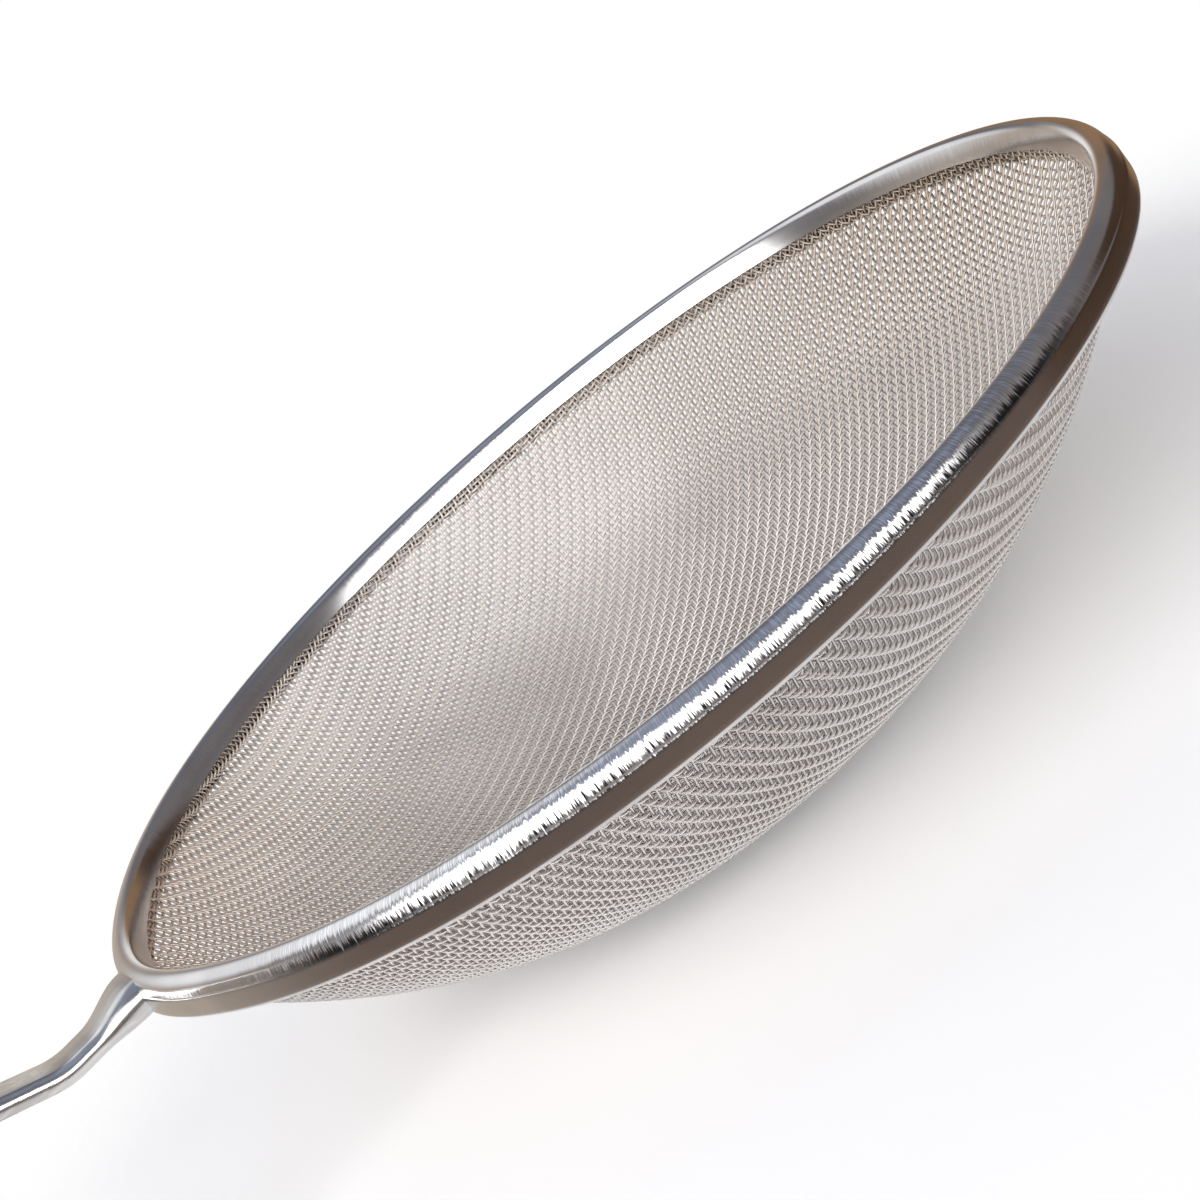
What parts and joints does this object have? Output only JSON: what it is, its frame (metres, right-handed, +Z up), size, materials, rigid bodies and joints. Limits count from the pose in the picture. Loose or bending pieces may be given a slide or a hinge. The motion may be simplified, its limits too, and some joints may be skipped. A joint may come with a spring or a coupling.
{
  "type": "mesh strainer",
  "caption": "Round kitchen strainer: a dome of woven steel wire cloth in a folded rim band, with a flat welded handle for sifting and draining.",
  "frame": {"origin": "middle of the flat bottom of the bowl, where the strainer rests", "axes": "+Z up through the mouth of the bowl, +X from the bowl along the handle, +Y to the side"},
  "size_m": [0.3639, 0.2, 0.0672],
  "materials": {
    "woven_steel": "fine woven wire, soft sheen",
    "polished_steel": "polished, with fine scratches across its arch",
    "drawn_steel": "drawn wire",
    "satin_steel": "satin to polished"
  },
  "bodies": {
    "root": {"mesh_bowl": "woven_steel", "rim_band": "polished_steel", "rim_core_wire": "drawn_steel", "handle": "satin_steel"}
  },
  "joints": []
}
